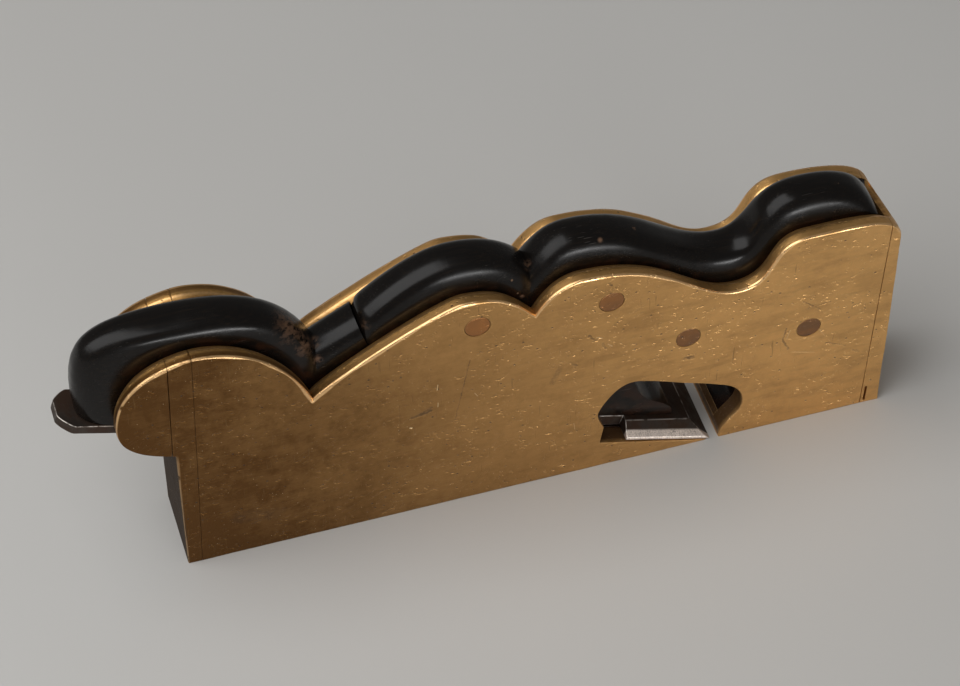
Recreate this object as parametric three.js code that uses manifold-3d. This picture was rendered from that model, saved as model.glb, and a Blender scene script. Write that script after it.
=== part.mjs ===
// Infill shoulder plane: brass side plates between brass end plates, ebony infill held by riveted
// cross pins, and a T-shaped steel iron held down by a long ebony wedge with a scalloped back.
// Millimetres and degrees. +X runs from heel to toe, +Y from the near side plate to the far one, +Z up
// from the sole. Places along the body count from the heel face; the last group moves the origin to
// the middle of the sole. Headings are degrees from +X towards +Z. Reach shares say how far a curve
// follows the heading at its first knot and at its last one, as shares of the distance between them.

import * as THREE from 'three';
import { mergeVertices } from 'three/addons/utils/BufferGeometryUtils.js';
import Module from 'manifold-3d';

const wasm = await Module();
wasm.setup();

// Body
const bodyWidth = 25.4;
const cheekThickness = 5.6;
const heelPlateFootThickness = 3.9;
const heelPlateTopThickness = 6.7;
const toePlateFootThickness = 5.6;
const toePlateTopThickness = 3;
const soleThickness = 5;
const seamGap = 0.1;
const fitGap = 0.3;

// Open joint at the foot of the toe plate, on the near side
const flawWidth = 0.7;
const flawAdvance = 0.8;
const flawFoot = 1;
const flawHeight = 5.9;
const flawDepth = 2.5;

// Scallops of the rim, one after the other from the heel face to the toe face
const lobeSpan = 37.8;
const firstHumpSpan = 61.3;
const secondHumpSpan = 57.7;
const toeBunSpan = 46.4;
const bodyLength = lobeSpan + firstHumpSpan + secondHumpSpan + toeBunSpan;

// Iron, bed and wedge
const bedAngle = 18;
const wedgeAngle = 6.8;
const wedgeDriven = 2;
const mouthSetback = 51.1;
const ironEdgeHeight = 0.1;
const ironLength = 190.6;
const ironEdgeThickness = 4;
const ironTailThickness = 2.8;
const ironWideLength = 27;
const ironBevelAngle = 31;
const ironEdgeLand = 1;
const ironWingTaperWidth = 4.35;
const ironHeadClip = 4.4;
const wedgeTipBlunt = 2.1;
const wedgeTipSetback = 9.9;
const ogeeWaistSetback = 6.2;
const ogeeWaistRise = 6;

// Rim of the side plates: flat along the top, a fine outer arris and a wide inner chamfer
const rimArris = 0.5;
const farRimArris = 0.15;
const rimFlatWidth = 3.2;
const rimChamferDrop = 1.6;
const toeRimFlatWidth = 1.4;
const ebonyEdgeDrop = 1.2;

// Rounding of the ebony across its width: 2 would be an ellipse, more is fuller at the shoulders
const crownFullness = 2.6;

// Lobe beside the tail of the wedge, its heights counted from the bed at the heel face
const lobeOverhang = 14.7;
const lobeFootDrop = 2.9;
const lobeRearRise = 11.7;
const lobeCrestRise = 33.2;
const lobeCrestPlace = 7.7;
const neckCuspRise = 19.4;
const farLobeRise = 1.2;
const farLobeAdvance = 1.4;
const lobeSeamFootSetback = 0.85;
const lobeSeamTopAdvance = 0.4;

// Rim heights above the sole, and crests counted back or forward from the cusp or hollow they follow
const firstCrestHeight = 80;
const firstCrestSetback = 19.5;
const middleCuspHeight = 69.3;
const secondCrestHeight = 78.95;
const secondCrestAdvance = 13.5;
const hollowHeight = 60.6;
const bunCrestHeight = 75.7;
const bunCrestAdvance = 20.7;
const toeCornerHeight = 67.6;
const farToeDrop = 3.5;

// How far the ebony stands proud of the rim along its middle
const lobeCrownRise = 5.6;
const lobeCrownSetback = 3;
const lobeTailOverhang = 9;
const lobeTailFootAdvance = 1;
const neckCreaseRise = 10.6;
const neckCreaseAdvance = 3.4;
const neckSlope = 28;
const firstCrownRise = 7.6;
const middleCreaseRise = 9.4;
const middleCreaseAdvance = 0.8;
const secondCrownRise = 7.8;
const hollowCrownRise = 8.2;
const hollowCrownSetback = 1;
const bunCrownRise = 7.8;
const bunCrownEndRise = 1;
const noseSetback = 43;
const noseBulge = 3.4;
const noseBrowRise = 7.3;
const noseBrowAdvance = 1.3;

// Throat: the opening through both side plates above the iron
const throatRearSetback = 33.3;
const throatNibSetback = 32.3;
const throatFloorRelief = 0.6;
const throatNibHeight = 16.2;
const throatBulgeSetback = 34.1;
const throatBulgeHeight = 22.2;
const throatRoofSetback = 24.3;
const throatRoofHeight = 32.8;
const throatBrowAdvance = 1.5;
const throatBrowHeight = 23;
const throatFrontAdvance = 8.7;
const throatFrontHeight = 13.4;
const mouthLipAdvance = 2.8;
const mouthLipHeight = 3.1;
const mouthOpening = 2.4;

// Cross pins, riveted at both ends into countersunk holes
const pinDiameter = 6.35;
const pinHeadDiameter = 6.9;
const pinCountersink = 1.2;
const pinGap = 0.15;
const firstPinSetback = 16.1;
const firstPinHeightShare = 0.638;
const secondPinAdvance = 21.2;
const secondPinDrop = 10.9;
const thirdPinSetback = 13.8;
const thirdPinHeight = 46.3;
const fourthPinSetback = 24.5;
const fourthPinHeight = 38.8;

// Reach shares of the curves, each list from heel to toe
const lobeReachShares = [[0.41, 0.4], [0.55, 0.23], [0.15, 0.62]];
const firstHumpReachShares = [[0.12, 0.15], [0.59, 0.21]];
const frontReachShares = [[0.38, 0.37], [0.53, 0.25], [0.47, 0.57], [0.42, 0.33]];
const throatReachShares = [[0.35, 0.35], [0.12, 0.4], [0.09, 0.9], [0.55, 0.22], [0.38, 0.5]];
const noseReachShares = [[0.6, 0.12], [0.25, 0.35], [0.5, 0.24]];
const frontCrownReachShares = [[0.38, 0.4], [0.45, 0.3], [0.42, 0.6], [0.5, 0.4]];
const lobeCrownReachShares = [[0.4, 0.4], [0.6, 0.55], [0.42, 0.42]];
const neckReachShares = [[0.3, 0.3]];
const ogeeReachShares = [[0.4, 0.4], [0.3, 0.5]];
const ironHeadReachShare = 0.26;

// Fineness of the curves, and how far a cut runs past what it cuts
const curveSteps = 14;
const crownSlices = 12;
const roundSteps = 28;
const overrun = 6;

const innerHalfWidth = bodyWidth / 2 - cheekThickness;
const slidingHalfWidth = innerHalfWidth - fitGap;
const edgePlace = bodyLength - mouthSetback;
const neckCuspPlace = lobeSpan;
const middleCuspPlace = neckCuspPlace + firstHumpSpan;
const hollowPlace = middleCuspPlace + secondHumpSpan;

const tangent = (angle) => Math.tan(THREE.MathUtils.degToRad(angle));
const cosine = (angle) => Math.cos(THREE.MathUtils.degToRad(angle));
const sine = (angle) => Math.sin(THREE.MathUtils.degToRad(angle));

// Height of the iron's underside, the bed, the iron's top and the wedge's abutment at a place
const ironTaperSlope = (ironEdgeThickness - ironTailThickness) / ironLength;
const ironTaper = THREE.MathUtils.radToDeg(Math.atan(ironTaperSlope));
const ironTopAngle = bedAngle - ironTaper;
const throatRoofPlace = edgePlace - throatRoofSetback;
const ironUnderside = (place) => ironEdgeHeight + (edgePlace - place) * tangent(bedAngle);
const bedHeight = (place) => ironUnderside(place) - fitGap / cosine(bedAngle);
const ironTop = (place) => ironUnderside(edgePlace) + ironEdgeThickness / cosine(bedAngle)
  + (edgePlace - place) * tangent(ironTopAngle);
const abutmentHeight = (place) => throatRoofHeight
  + (throatRoofPlace - place) * tangent(bedAngle + wedgeAngle);

// Materials
const brass = { color: 0xb08a4e, roughness: 0.42, metalness: 0.9 };
const pinBrass = { color: 0x96703f, roughness: 0.5, metalness: 0.85 };
const ebony = { color: 0x17130f, roughness: 0.32, metalness: 0 };
const steel = { color: 0x857a6e, roughness: 0.5, metalness: 0.85 };

// A knot of an outline: place, height, heading it is met with, heading it is left with
const knot = (place, height, arrive, leave = arrive) => ({ place, height, arrive, leave });

// Points along one curve between two knots
function span(from, to, [reachOutShare, reachInShare]) {
  const start = new THREE.Vector2(from.place, from.height);
  const end = new THREE.Vector2(to.place, to.height);
  const distance = start.distanceTo(end);
  const heading = (angle) => new THREE.Vector2(cosine(angle), sine(angle));
  const first = start.clone().addScaledVector(heading(from.leave), distance * reachOutShare);
  const second = end.clone().addScaledVector(heading(to.arrive), -distance * reachInShare);
  return new THREE.CubicBezierCurve(start, first, second, end).getPoints(curveSteps);
}

// Several curves end to end, without their doubled knots
const join = (...runs) => runs.flatMap((run, index) => (index === 0 ? run : run.slice(1)));
const path = (knots, reachShares) => join(...reachShares.map((shares, index) => (
  span(knots[index], knots[index + 1], shares)
)));

// A polyline cut into equal steps along its length
function evenly(points, steps) {
  const lengths = [0];
  for (let i = 1; i < points.length; i += 1) {
    lengths.push(lengths[i - 1] + points[i].distanceTo(points[i - 1]));
  }
  const total = lengths[lengths.length - 1];
  const result = [];
  let leg = 1;
  for (let step = 0; step <= steps; step += 1) {
    const target = total * step / steps;
    while (leg < points.length - 1 && lengths[leg] < target) leg += 1;
    const share = (target - lengths[leg - 1]) / (lengths[leg] - lengths[leg - 1]);
    result.push(points[leg - 1].clone().lerp(points[leg], share));
  }
  return result;
}

// The part of a polyline that lies between two places along the body
function between(points, fromPlace, toPlace) {
  const result = [];
  for (let i = 1; i < points.length; i += 1) {
    const a = points[i - 1];
    const b = points[i];
    for (const place of [fromPlace, toPlace]) {
      if ((a.x - place) * (b.x - place) < 0) {
        result.push(a.clone().lerp(b, (place - a.x) / (b.x - a.x)));
      }
    }
    if (b.x >= fromPlace && b.x <= toPlace) result.push(b.clone());
  }
  return result.sort((p, q) => p.x - q.x);
}

// A clockwise closed outline moved inward: each point by its own distance, square to its two edges
function inset(outline, distances) {
  return outline.map((point, index) => {
    const before = outline[(index + outline.length - 1) % outline.length];
    const after = outline[(index + 1) % outline.length];
    const incoming = point.clone().sub(before).normalize();
    const outgoing = after.clone().sub(point).normalize();
    const inward = new THREE.Vector2(incoming.y + outgoing.y, -incoming.x - outgoing.x).normalize();
    const reach = distances[index] / (inward.x * incoming.y - inward.y * incoming.x);
    return point.clone().addScaledVector(inward, reach);
  });
}

// A closed body skinned over clockwise outlines that lie across the width, nearest first
function skin(slices) {
  const outlines = slices.map(({ points }) => [...points].reverse());
  const count = outlines[0].length;
  const last = (slices.length - 1) * count;
  const positions = slices.flatMap(({ y }, index) => (
    outlines[index].flatMap((point) => [point.x, y, point.y])
  ));
  const faces = [];
  for (let row = 0; row < last; row += count) {
    for (let i = 0; i < count; i += 1) {
      const next = (i + 1) % count;
      faces.push(row + i, row + count + next, row + next);
      faces.push(row + i, row + count + i, row + count + next);
    }
  }
  for (const [a, b, c] of THREE.ShapeUtils.triangulateShape(outlines[0], [])) {
    faces.push(a, b, c);
  }
  for (const [a, b, c] of THREE.ShapeUtils.triangulateShape(outlines[outlines.length - 1], [])) {
    faces.push(last + a, last + c, last + b);
  }
  const geometry = new THREE.BufferGeometry();
  geometry.setAttribute('position', new THREE.Float32BufferAttribute(positions, 3));
  geometry.setIndex(faces);
  return geometry;
}

// A straight prism across the width
const prism = (points, fromY, toY) => skin([{ y: fromY, points }, { y: toY, points }]);

const outlineOf = (...pairs) => pairs.map(([place, height]) => new THREE.Vector2(place, height));

function solid(geometry) {
  const bare = geometry.clone();
  bare.deleteAttribute('normal');
  bare.deleteAttribute('uv');
  const merged = mergeVertices(bare);
  const corners = merged.index.array;
  const faces = [];
  for (let i = 0; i < corners.length; i += 3) {
    const [a, b, c] = corners.slice(i, i + 3);
    if (a !== b && b !== c && c !== a) faces.push(a, b, c);
  }
  return new wasm.Manifold(new wasm.Mesh({
    numProp: 3,
    vertProperties: new Float32Array(merged.attributes.position.array),
    triVerts: new Uint32Array(faces),
  }));
}

function shape(manifold) {
  const { numProp, vertProperties, triVerts } = manifold.getMesh();
  const geometry = new THREE.BufferGeometry();
  const positions = [];
  for (let i = 0; i < vertProperties.length; i += numProp) {
    positions.push(vertProperties[i], vertProperties[i + 1], vertProperties[i + 2]);
  }
  geometry.setAttribute('position', new THREE.Float32BufferAttribute(positions, 3));
  geometry.setIndex(Array.from(triVerts));
  geometry.computeVertexNormals();
  return geometry;
}

function piece(name, manifold, finish) {
  const mesh = new THREE.Mesh(shape(manifold), new THREE.MeshStandardMaterial(finish));
  mesh.name = name;
  return mesh;
}

// Rim of the side plates, from the notch at the heel over the lobe and the humps to the toe face.
// The far lobe and cusp were filed a little higher than the near ones, the far toe corner rounder.
const bedAtHeel = bedHeight(0);
const notchHeight = bedAtHeel - lobeFootDrop;
const notch = knot(0, notchHeight, 90, 162);
const lobeRear = knot(-lobeOverhang, bedAtHeel + lobeRearRise, 90);
const firstCrest = knot(middleCuspPlace - firstCrestSetback, firstCrestHeight, 0);
const middleCusp = knot(middleCuspPlace, middleCuspHeight, -43, 60);
const secondCrest = knot(middleCuspPlace + secondCrestAdvance, secondCrestHeight, 0);
const hollow = knot(hollowPlace, hollowHeight, 0);
const bunCrest = knot(hollowPlace + bunCrestAdvance, bunCrestHeight, 0);

function rimRuns(lift, advance, toeDrop) {
  const lobeCrest = knot(lobeCrestPlace + advance, bedAtHeel + lobeCrestRise + lift, 0);
  const neckCusp = knot(neckCuspPlace, bedHeight(neckCuspPlace) + neckCuspRise + lift, -70, 50);
  const toeCorner = knot(bodyLength, toeCornerHeight - toeDrop, -90);
  return {
    lobe: path([notch, lobeRear, lobeCrest, neckCusp], lobeReachShares),
    firstHump: path([neckCusp, firstCrest, middleCusp], firstHumpReachShares),
    front: path([middleCusp, secondCrest, hollow, bunCrest, toeCorner], frontReachShares),
  };
}

// A side outline from a rim, and the same with its rim moved inward, arris and chamfer by turns
const sideOutline = (runs) => [
  new THREE.Vector2(0, -overrun),
  ...join(runs.lobe, runs.firstHump, runs.front),
  new THREE.Vector2(bodyLength, -overrun),
];
const rimInset = (outline, distance) => inset(outline, outline.map((point, index) => (
  index > 1 && index < outline.length - 2 ? distance : 0
)));
const nearRuns = rimRuns(0, 0, 0);
const farRuns = rimRuns(farLobeRise, farLobeAdvance, farToeDrop);
const nearOutline = sideOutline(nearRuns);
const farOutline = sideOutline(farRuns);

// Side plates in the rough, lobes and ends included
const nearPlate = solid(skin([
  { y: -bodyWidth / 2, points: rimInset(nearOutline, rimArris) },
  { y: -bodyWidth / 2 + rimArris, points: nearOutline },
  { y: -bodyWidth / 2 + rimFlatWidth, points: nearOutline },
  { y: -innerHalfWidth, points: rimInset(nearOutline, rimChamferDrop) },
]));
const farPlate = solid(skin([
  { y: innerHalfWidth, points: rimInset(farOutline, rimChamferDrop) },
  { y: bodyWidth / 2 - rimFlatWidth, points: farOutline },
  { y: bodyWidth / 2 - farRimArris, points: farOutline },
  { y: bodyWidth / 2, points: rimInset(farOutline, farRimArris) },
]));

// The whole body in the rough, from face to face, for the end plates
const bodyBlock = solid(skin([
  { y: -bodyWidth / 2, points: rimInset(nearOutline, rimArris) },
  { y: -bodyWidth / 2 + rimArris, points: nearOutline },
  { y: -bodyWidth / 2 + rimFlatWidth, points: nearOutline },
  { y: bodyWidth / 2 - rimFlatWidth, points: farOutline },
  { y: bodyWidth / 2 - farRimArris, points: farOutline },
  { y: bodyWidth / 2, points: rimInset(farOutline, farRimArris) },
]));

// Seams of the side plates with the heel plate, the lobes and the toe plate: all lean forward from
// foot to top
const lobeCrestHeight = bedAtHeel + lobeCrestRise;
const highest = lobeCrestHeight + lobeCrownRise + overrun;
const heelSeamLean = (heelPlateTopThickness - heelPlateFootThickness) / lobeCrestHeight;
const heelSeam = (height) => heelPlateFootThickness + heelSeamLean * height;
const lobeSeamLean = (lobeSeamFootSetback + lobeSeamTopAdvance) / (lobeCrestHeight - notchHeight);
const lobeSeam = (height) => lobeSeamLean * (height - notchHeight) - lobeSeamFootSetback;
const toeSeamLean = (toePlateFootThickness - toePlateTopThickness) / bunCrestHeight;
const toeSeam = (height) => bodyLength - toePlateFootThickness + toeSeamLean * height;
const outerHalf = bodyWidth / 2 + overrun;

// Throat outline, from the rear end of the bed round the opening to the front of the mouth
const throatNib = knot(edgePlace - throatNibSetback, throatNibHeight, 90, 110);
const throatBulge = knot(edgePlace - throatBulgeSetback, throatBulgeHeight, 90);
const throatRoof = knot(throatRoofPlace, throatRoofHeight, 0);
const throatBrow = knot(edgePlace + throatBrowAdvance, throatBrowHeight, -22);
const throatFront = knot(edgePlace + throatFrontAdvance, throatFrontHeight, -90);
const mouthLip = knot(edgePlace + mouthLipAdvance, mouthLipHeight, -118);
const throatOutline = [
  ...outlineOf(
    [edgePlace + mouthOpening, bedHeight(edgePlace + mouthOpening)],
    [edgePlace - throatRearSetback, bedHeight(edgePlace - throatRearSetback) - throatFloorRelief],
  ),
  ...path(
    [throatNib, throatBulge, throatRoof, throatBrow, throatFront, mouthLip],
    throatReachShares,
  ),
  new THREE.Vector2(edgePlace + mouthOpening, 0),
];
const throat = solid(prism(throatOutline, -outerHalf, outerHalf));

// Cross pins: a shank that swells into the countersink at each end. The first one stands between the
// abutment of the wedge and the crest over it.
const firstPinPlace = middleCuspPlace - firstPinSetback;
const firstPinHeight = THREE.MathUtils.lerp(
  abutmentHeight(firstPinPlace),
  firstCrestHeight,
  firstPinHeightShare,
);
const pins = [
  [firstPinPlace, firstPinHeight],
  [middleCuspPlace + secondPinAdvance, secondCrestHeight - secondPinDrop],
  [hollowPlace - thirdPinSetback, thirdPinHeight],
  [bodyLength - fourthPinSetback, fourthPinHeight],
];

function pinBody([place, height], gap) {
  const shank = pinDiameter / 2 + gap;
  const head = pinHeadDiameter / 2 + gap;
  const end = bodyWidth / 2;
  const tail = gap > 0 ? overrun : 0;
  const profile = outlineOf(
    [0, -end - tail],
    [head, -end - tail],
    [head, -end],
    [shank, -end + pinCountersink],
    [shank, end - pinCountersink],
    [head, end],
    [head, end + tail],
    [0, end + tail],
  );
  const turned = new THREE.LatheGeometry(tail > 0 ? profile : [
    profile[0], ...profile.slice(2, 6), profile[7],
  ], roundSteps);
  return solid(turned.translate(place, 0, height));
}

const pinHoles = pins.map((pin) => pinBody(pin, pinGap));
const drilled = (manifold) => pinHoles.reduce((rest, hole) => rest.subtract(hole), manifold);

// Heel plate: full width below the notch, an ear up to the rim at each side above it, and between the
// ears only as high as the bed
const heelEarRegion = solid(prism(outlineOf(
  [lobeSeam(notchHeight), notchHeight],
  [lobeSeam(highest), highest],
  [heelSeam(highest), highest],
  [heelSeam(notchHeight), notchHeight],
), -outerHalf, outerHalf));
const heelFootRegion = solid(prism(outlineOf(
  [-overrun, 0],
  [-overrun, notchHeight],
  [heelSeam(notchHeight), notchHeight],
  [heelSeam(0), 0],
), -outerHalf, outerHalf));
const heelBed = solid(prism(outlineOf(
  [0, soleThickness],
  [0, bedAtHeel],
  [heelSeam(bedAtHeel), bedHeight(heelSeam(bedAtHeel))],
  [heelSeam(soleThickness), soleThickness],
), -bodyWidth / 2 + rimFlatWidth, bodyWidth / 2 - rimFlatWidth));
const heelPlate = bodyBlock
  .intersect(heelFootRegion)
  .add(nearPlate.intersect(heelEarRegion))
  .add(farPlate.intersect(heelEarRegion))
  .add(heelBed);

// Toe plate: full width and as high as the rim, with the rim's inner chamfer carried round its end
// and the open joint at its foot
const toeFlatPlace = bodyLength - toeRimFlatWidth;

function toeChamferSlice(y, runs) {
  const acrossShare = (bodyWidth / 2 - rimFlatWidth - Math.abs(y)) / (cheekThickness - rimFlatWidth);
  const run = evenly(between(runs.front, toeSeam(0), toeFlatPlace), curveSteps / 2).reverse();
  const points = run.map((point) => {
    const alongShare = (toeFlatPlace - point.x) / (toePlateTopThickness - toeRimFlatWidth);
    return new THREE.Vector2(point.x, point.y - rimChamferDrop * acrossShare * alongShare);
  });
  return { y, points: [...outlineOf([toeSeam(0), highest], [toeFlatPlace, highest]), ...points] };
}

const toeChamfer = solid(skin([
  toeChamferSlice(-bodyWidth / 2, nearRuns),
  toeChamferSlice(-innerHalfWidth, nearRuns),
  toeChamferSlice(innerHalfWidth, farRuns),
  toeChamferSlice(bodyWidth / 2, farRuns),
]));
const flawPlace = toeSeam(flawFoot) + flawAdvance;
const openJoint = solid(prism(outlineOf(
  [flawPlace, flawFoot],
  [flawPlace + toeSeamLean * flawHeight, flawFoot + flawHeight],
  [flawPlace + toeSeamLean * flawHeight + flawWidth, flawFoot + flawHeight],
  [flawPlace + flawWidth, flawFoot],
), -outerHalf, -bodyWidth / 2 + flawDepth));
const toePlateRegion = solid(prism(outlineOf(
  [toeSeam(0), 0],
  [toeSeam(highest), highest],
  [bodyLength + overrun, highest],
  [bodyLength + overrun, 0],
), -outerHalf, outerHalf));
const toePlate = bodyBlock.intersect(toePlateRegion).subtract(toeChamfer).subtract(openJoint);

// Side plate between the end plates, with the throat and the pin holes
const cheekRegion = solid(prism(outlineOf(
  [heelSeam(0) + seamGap, 0],
  [heelSeam(highest) + seamGap, highest],
  [toeSeam(highest) - seamGap, highest],
  [toeSeam(0) - seamGap, 0],
), -outerHalf, outerHalf));
const cheek = (plate) => drilled(plate.intersect(cheekRegion).subtract(throat));

// Lobe brazed to an ear of the heel plate
const lobeRegion = solid(prism(outlineOf(
  [-lobeOverhang - overrun, notchHeight],
  [-lobeOverhang - overrun, highest],
  [lobeSeam(highest) - seamGap, highest],
  [lobeSeam(notchHeight) - seamGap, notchHeight],
), -outerHalf, outerHalf));
const lobe = (plate) => plate.intersect(lobeRegion);

// Sole between the side plates: the rear part feathers out under the bed, the front part ends in a lip
const bedPlace = (height) => edgePlace + bedHeight(edgePlace) / tangent(bedAngle)
  - height / tangent(bedAngle);
const rearSole = solid(prism(outlineOf(
  [heelSeam(0) + seamGap, 0],
  [heelSeam(soleThickness) + seamGap, soleThickness],
  [bedPlace(soleThickness), soleThickness],
  [bedPlace(0), 0],
), -innerHalfWidth, innerHalfWidth));
const toeSole = solid(prism(outlineOf(
  [edgePlace + mouthOpening, 0],
  [edgePlace + mouthOpening, soleThickness],
  [toeSeam(soleThickness) - seamGap, soleThickness],
  [toeSeam(0) - seamGap, 0],
), -innerHalfWidth, innerHalfWidth)).subtract(throat);

// Bed infill under the iron
const bedRearPlace = heelSeam(bedAtHeel) + seamGap;
const bedInfill = solid(prism(outlineOf(
  [heelSeam(soleThickness) + seamGap, soleThickness],
  [bedRearPlace, bedHeight(bedRearPlace)],
  [bedPlace(soleThickness), soleThickness],
), -innerHalfWidth, innerHalfWidth));

// Crowned ebony: the outline at the sides and the outline along the middle, blended across the width
const crownAcross = Array.from({ length: crownSlices + 1 }, (_, index) => (
  Math.sin(Math.PI * (index / crownSlices - 1 / 2))
));
const crownShare = (across) => (1 - Math.abs(across) ** crownFullness) ** (1 / crownFullness);
const crowned = (sides, middle, base, halfWidth) => solid(skin(crownAcross.map((across) => {
  const top = sides.map((point, index) => point.clone().lerp(middle[index], crownShare(across)));
  return { y: halfWidth * across, points: [...top, ...base] };
})));

// Stuffing: one block from the nose over the wedge to the toe plate, scalloped like the rim
const noseSidePlace = middleCuspPlace - noseSetback;
const noseMiddlePlace = noseSidePlace - noseBulge;
const rimSide = rimInset(nearOutline, ebonyEdgeDrop).slice(1, -1);
const humpStart = nearRuns.lobe.length - 1;
const frontStart = humpStart + nearRuns.firstHump.length - 1;
const firstHumpSide = rimSide.slice(humpStart, frontStart + 1);
const frontSide = rimSide.slice(frontStart);
const toeSidePlace = toeSeam(toeCornerHeight) - seamGap;
const noseRim = between(firstHumpSide, noseSidePlace, middleCuspPlace)[0];
const noseStart = knot(noseMiddlePlace, noseRim.y - overrun, 90);
const noseBrow = knot(noseMiddlePlace + noseBrowAdvance, noseRim.y + noseBrowRise, 42);
const firstMiddleCrest = knot(firstCrest.place, firstCrestHeight + firstCrownRise, 0);
const middleCrease = knot(
  middleCuspPlace + middleCreaseAdvance,
  middleCuspHeight + middleCreaseRise,
  -52,
  52,
);
const secondMiddleCrest = knot(secondCrest.place, secondCrestHeight + secondCrownRise, 0);
const middleHollow = knot(hollowPlace - hollowCrownSetback, hollowHeight + hollowCrownRise, 0);
const bunMiddleCrest = knot(bunCrest.place, bunCrestHeight + bunCrownRise, 0);
const bunMiddleEnd = knot(toeSidePlace, toeCornerHeight + bunCrownEndRise, -78);
const noseAndFirstHump = noseReachShares.length * curveSteps;
const frontHumps = frontCrownReachShares.length * curveSteps;
const stuffingSide = [
  ...evenly([
    new THREE.Vector2(noseSidePlace, noseRim.y - overrun),
    ...between(firstHumpSide, noseSidePlace, middleCuspPlace),
  ], noseAndFirstHump),
  ...evenly(frontSide, frontHumps).slice(1),
];
const stuffingMiddle = [
  ...evenly(
    path([noseStart, noseBrow, firstMiddleCrest, middleCrease], noseReachShares),
    noseAndFirstHump,
  ),
  ...evenly(path(
    [middleCrease, secondMiddleCrest, middleHollow, bunMiddleCrest, bunMiddleEnd],
    frontCrownReachShares,
  ), frontHumps).slice(1),
];
const stuffingBase = outlineOf([bodyLength + overrun, soleThickness], [noseSidePlace, soleThickness]);
const wedgeRoom = solid(prism(outlineOf(
  [-lobeOverhang, -overrun],
  [-lobeOverhang, abutmentHeight(-lobeOverhang)],
  [throatRoofPlace, throatRoofHeight],
  [edgePlace + mouthOpening, -overrun],
), -outerHalf, outerHalf));
const behindToeSeam = solid(prism(outlineOf(
  [0, 0],
  [0, highest],
  [toeSeam(highest) - seamGap, highest],
  [toeSeam(0) - seamGap, 0],
), -outerHalf, outerHalf));
const stuffing = drilled(crowned(stuffingSide, stuffingMiddle, stuffingBase, innerHalfWidth)
  .intersect(behindToeSeam)
  .subtract(wedgeRoom)
  .subtract(throat));

// Wedge: a crowned lobe and neck that follow the rim up to the nose, then a plain taper that ends in an
// ogee tip. It sits a little further in than where its scallops were cut to meet those of the rim.
const drive = new THREE.Vector2(wedgeDriven * cosine(bedAngle), -wedgeDriven * sine(bedAngle));
const wedgeFoot = (place) => ironTop(place) + fitGap / cosine(ironTopAngle);
const wedgeBack = (place) => abutmentHeight(place) - fitGap / cosine(bedAngle + wedgeAngle);
const tailPlace = -lobeOverhang - lobeTailOverhang;
const tailFoot = knot(tailPlace + lobeTailFootAdvance, wedgeFoot(tailPlace) - overrun, 95);
const tailRear = knot(tailPlace, bedAtHeel + lobeRearRise + lobeCrownRise, 90);
const lobeMiddleCrest = knot(lobeCrestPlace - lobeCrownSetback, lobeCrestHeight + lobeCrownRise, 0);
const lobeSide = nearRuns.lobe.slice(curveSteps / 2);
const neckStart = lobeSide[lobeSide.length - 1];
const neckCrease = knot(
  neckCuspPlace + neckCreaseAdvance,
  neckStart.y + neckCreaseRise,
  -66,
  neckSlope,
);
const neckEndPlace = noseSidePlace + overrun;
const neckEndHeight = neckCrease.height + (neckEndPlace - neckCrease.place) * tangent(neckSlope);
const neckEnd = knot(neckEndPlace, neckEndHeight, neckSlope);
const neckSide = [neckStart, ...between(nearRuns.firstHump, neckCuspPlace, neckEndPlace)];
const lobeSteps = (lobeCrownReachShares.length + 1) * curveSteps;
const wedgeSide = [
  ...evenly(lobeSide, lobeSteps),
  ...evenly(neckSide, curveSteps).slice(1),
].map((point) => point.clone().add(drive));
const wedgeMiddle = [
  ...evenly(path([tailFoot, tailRear, lobeMiddleCrest, neckCrease], lobeCrownReachShares), lobeSteps),
  ...path([neckCrease, neckEnd], neckReachShares).slice(1),
];
const tipPlace = edgePlace - wedgeTipSetback;
const waistPlace = tipPlace - ogeeWaistSetback;
const tipTop = knot(tipPlace, wedgeFoot(tipPlace) + wedgeTipBlunt, 118);
const ogeeWaist = knot(waistPlace, wedgeFoot(waistPlace) + ogeeWaistRise, 144);
const ogeeTop = knot(throatRoofPlace, throatRoofHeight + overrun, 102);
const wedgeBase = [
  ...path([tipTop, ogeeWaist, ogeeTop], ogeeReachShares).reverse(),
  ...outlineOf(
    [tipPlace, wedgeFoot(tipPlace) - overrun],
    [wedgeSide[0].x, wedgeFoot(wedgeSide[0].x) - overrun],
  ),
];
const aboveIron = solid(prism(outlineOf(
  [tailPlace - overrun, wedgeFoot(tailPlace - overrun)],
  [tailPlace - overrun, highest],
  [edgePlace, highest],
  [edgePlace, wedgeFoot(edgePlace)],
), -outerHalf, outerHalf));
const noseRoom = solid(skin(crownAcross.map((across) => {
  const place = noseSidePlace - noseBulge * crownShare(across) - fitGap;
  const points = outlineOf(
    [place, wedgeBack(place)],
    [place, highest],
    [edgePlace, highest],
    [edgePlace, wedgeBack(edgePlace)],
  );
  return { y: innerHalfWidth * across, points };
})));
const wedge = crowned(wedgeSide, wedgeMiddle, wedgeBase, slidingHalfWidth)
  .intersect(aboveIron)
  .subtract(noseRoom);

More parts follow.
